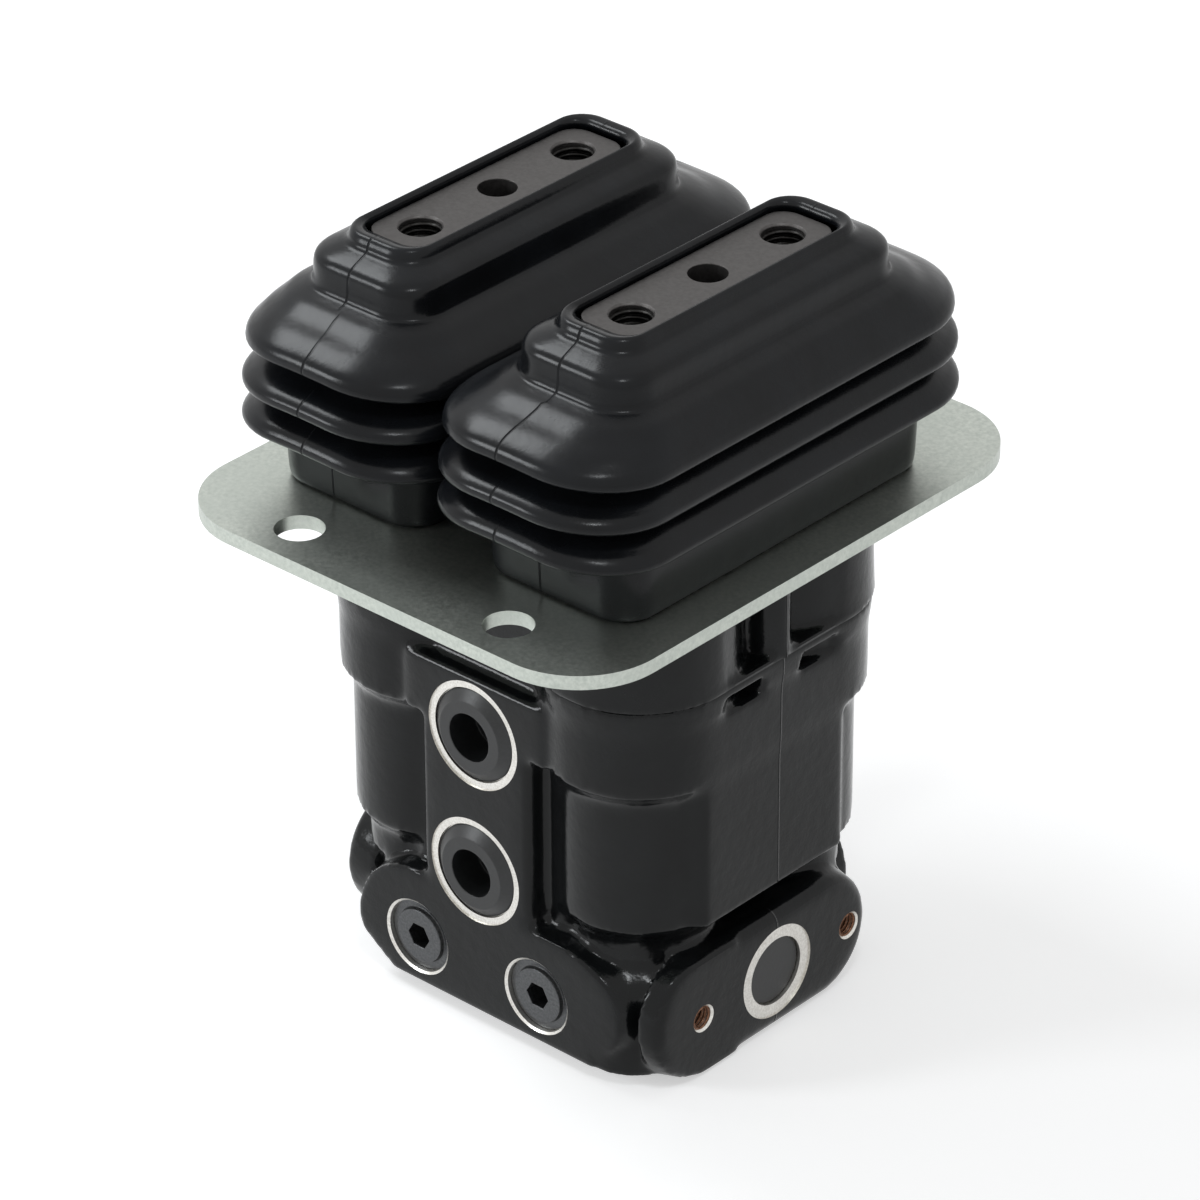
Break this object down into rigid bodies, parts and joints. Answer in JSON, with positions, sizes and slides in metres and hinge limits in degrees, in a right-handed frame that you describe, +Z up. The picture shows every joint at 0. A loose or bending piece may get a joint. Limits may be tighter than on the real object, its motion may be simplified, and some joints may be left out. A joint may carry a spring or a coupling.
{
  "type": "foot pedal pilot valve",
  "caption": "Hydraulic travel pilot valve: two rocking pedal cams under bellows on a steel plate push damped rods and spools in a cast body.",
  "frame": {"origin": "centre of the four mounting holes, on the mounting plate's underside", "axes": "+Z up through the plate to the pedals; -Y out of the port face; +X across to the right-hand pedal"},
  "size_m": [0.133, 0.1586, 0.1975],
  "materials": {
    "painted_casting": "gloss",
    "zinc_plate": "satin",
    "ground_steel": "satin",
    "cam_steel": "satin",
    "bracket_steel": "satin",
    "black_screw": "satin",
    "plug_steel": "satin",
    "bronze_bush": "satin",
    "spring_steel": "satin",
    "boot_rubber": "satin",
    "seal_rubber": "matte",
    "cap_plastic": "matte"
  },
  "bodies": {
    "housing": {"mounting_plate": "zinc_plate", "upper_casing": "painted_casting", "valve_body": "painted_casting", "seam_seal_rings": "seal_rubber", "casing_screws": "black_screw", "rod_guides": "ground_steel", "guide_seal_rings": "seal_rubber", "rod_seals": "seal_rubber", "tank_port_cap": "cap_plastic", "pressure_port_cap": "cap_plastic", "side_port_cap_left": "cap_plastic", "side_port_cap_right": "cap_plastic", "gallery_plugs": "plug_steel", "bracket_screws": "black_screw", "shaft_lock_screws": "black_screw", "hinge_bracket_left": "bracket_steel", "cam_shaft_left": "ground_steel", "boot_left": "boot_rubber", "hinge_bracket_right": "bracket_steel", "cam_shaft_right": "ground_steel", "boot_right": "boot_rubber"},
    "pedal_cam_left": {"cam_left": "cam_steel", "cam_bushes_left": "bronze_bush", "adjusting_screws_left": "black_screw", "lock_nuts_left": "zinc_plate"},
    "rod_left_front": {"push_rod_left_front": "ground_steel", "damping_piston_left_front": "plug_steel", "spring_seat_left_front": "plug_steel", "return_spring_left_front": "spring_steel", "balance_spring_left_front": "spring_steel"},
    "spool_left_front": {"spool_left_front": "ground_steel"},
    "rod_left_back": {"push_rod_left_back": "ground_steel", "damping_piston_left_back": "plug_steel", "spring_seat_left_back": "plug_steel", "return_spring_left_back": "spring_steel", "balance_spring_left_back": "spring_steel"},
    "spool_left_back": {"spool_left_back": "ground_steel"},
    "pedal_cam_right": {"cam_right": "cam_steel", "cam_bushes_right": "bronze_bush", "adjusting_screws_right": "black_screw", "lock_nuts_right": "zinc_plate"},
    "rod_right_front": {"push_rod_right_front": "ground_steel", "damping_piston_right_front": "plug_steel", "spring_seat_right_front": "plug_steel", "return_spring_right_front": "spring_steel", "balance_spring_right_front": "spring_steel"},
    "spool_right_front": {"spool_right_front": "ground_steel"},
    "rod_right_back": {"push_rod_right_back": "ground_steel", "damping_piston_right_back": "plug_steel", "spring_seat_right_back": "plug_steel", "return_spring_right_back": "spring_steel", "balance_spring_right_back": "spring_steel"},
    "spool_right_back": {"spool_right_back": "ground_steel"}
  },
  "joints": [
    {"name": "left_pedal_rock", "type": "hinge", "parent": "housing", "child": "pedal_cam_left", "pos_m": [-0.0322, 0, 0.022], "axis": [1, 0, 0], "range_deg": [-12.4, 12.4], "stiffness_Nm_per_rad": 6, "deforming": ["boot_left"]},
    {"name": "left_front_rod_slide", "type": "slide", "parent": "housing", "child": "rod_left_front", "axis": [0, 0, 1], "range_m": [-0.005, 0.005], "deforming": ["return_spring_left_front", "balance_spring_left_front"]},
    {"name": "left_front_spool_slide", "type": "slide", "parent": "housing", "child": "spool_left_front", "axis": [0, 0, 1], "range_m": [-0.0015, 0], "stiffness_N_per_m": 1000},
    {"name": "left_back_rod_slide", "type": "slide", "parent": "housing", "child": "rod_left_back", "axis": [0, 0, 1], "range_m": [-0.005, 0.005], "deforming": ["return_spring_left_back", "balance_spring_left_back"]},
    {"name": "left_back_spool_slide", "type": "slide", "parent": "housing", "child": "spool_left_back", "axis": [0, 0, 1], "range_m": [-0.0015, 0], "stiffness_N_per_m": 1000},
    {"name": "right_pedal_rock", "type": "hinge", "parent": "housing", "child": "pedal_cam_right", "pos_m": [0.0322, 0, 0.022], "axis": [1, 0, 0], "range_deg": [-12.4, 12.4], "stiffness_Nm_per_rad": 6, "deforming": ["boot_right"]},
    {"name": "right_front_rod_slide", "type": "slide", "parent": "housing", "child": "rod_right_front", "axis": [0, 0, 1], "range_m": [-0.005, 0.005], "deforming": ["return_spring_right_front", "balance_spring_right_front"]},
    {"name": "right_front_spool_slide", "type": "slide", "parent": "housing", "child": "spool_right_front", "axis": [0, 0, 1], "range_m": [-0.0015, 0], "stiffness_N_per_m": 1000},
    {"name": "right_back_rod_slide", "type": "slide", "parent": "housing", "child": "rod_right_back", "axis": [0, 0, 1], "range_m": [-0.005, 0.005], "deforming": ["return_spring_right_back", "balance_spring_right_back"]},
    {"name": "right_back_spool_slide", "type": "slide", "parent": "housing", "child": "spool_right_back", "axis": [0, 0, 1], "range_m": [-0.0015, 0], "stiffness_N_per_m": 1000}
  ],
  "couplings": [
    {"joint": "left_front_rod_slide", "follows": "left_pedal_rock", "m_per_rad": -0.023},
    {"joint": "left_back_rod_slide", "follows": "left_pedal_rock", "m_per_rad": 0.023},
    {"joint": "right_front_rod_slide", "follows": "right_pedal_rock", "m_per_rad": -0.023},
    {"joint": "right_back_rod_slide", "follows": "right_pedal_rock", "m_per_rad": 0.023}
  ]
}
